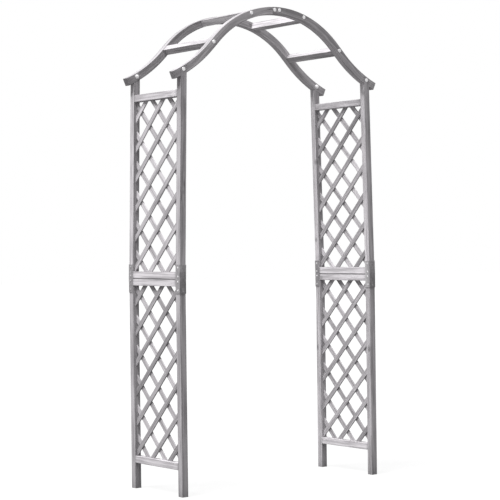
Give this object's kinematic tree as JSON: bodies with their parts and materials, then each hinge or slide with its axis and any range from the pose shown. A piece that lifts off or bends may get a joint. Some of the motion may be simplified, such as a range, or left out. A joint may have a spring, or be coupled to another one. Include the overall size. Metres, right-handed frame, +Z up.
{
  "type": "wooden garden arch",
  "caption": "Freestanding wooden garden arch: four square posts, lattice side panels and a curved open top of S-shaped rails joined by crossbars.",
  "frame": {"origin": "on the ground, at the middle of the four feet", "axes": "+X across the walkway to the right, +Y through the arch from front to rear, +Z up"},
  "size_m": [1.2798, 0.4544, 2.4029],
  "materials": {
    "weathered_timber": "weathered, sawn",
    "lattice_timber": "weathered, sawn",
    "galvanised_steel": "galvanised"
  },
  "bodies": {
    "root": {"left_bottom_rail": "weathered_timber", "left_lower_mid_rail": "weathered_timber", "left_upper_mid_rail": "weathered_timber", "left_top_rail": "weathered_timber", "left_inner_crossbar": "weathered_timber", "left_outer_crossbar": "weathered_timber", "front_left_lower_post": "weathered_timber", "front_left_upper_post": "weathered_timber", "front_left_arch_rail": "weathered_timber", "rear_left_lower_post": "weathered_timber", "rear_left_upper_post": "weathered_timber", "rear_left_arch_rail": "weathered_timber", "right_bottom_rail": "weathered_timber", "right_lower_mid_rail": "weathered_timber", "right_upper_mid_rail": "weathered_timber", "right_top_rail": "weathered_timber", "right_inner_crossbar": "weathered_timber", "right_outer_crossbar": "weathered_timber", "front_right_lower_post": "weathered_timber", "front_right_upper_post": "weathered_timber", "front_right_arch_rail": "weathered_timber", "rear_right_lower_post": "weathered_timber", "rear_right_upper_post": "weathered_timber", "rear_right_arch_rail": "weathered_timber", "left_lower_lattice": "lattice_timber", "left_upper_lattice": "lattice_timber", "right_lower_lattice": "lattice_timber", "right_upper_lattice": "lattice_timber", "front_left_joint_bracket": "galvanised_steel", "rear_left_joint_bracket": "galvanised_steel", "front_right_joint_bracket": "galvanised_steel", "rear_right_joint_bracket": "galvanised_steel"}
  },
  "joints": []
}
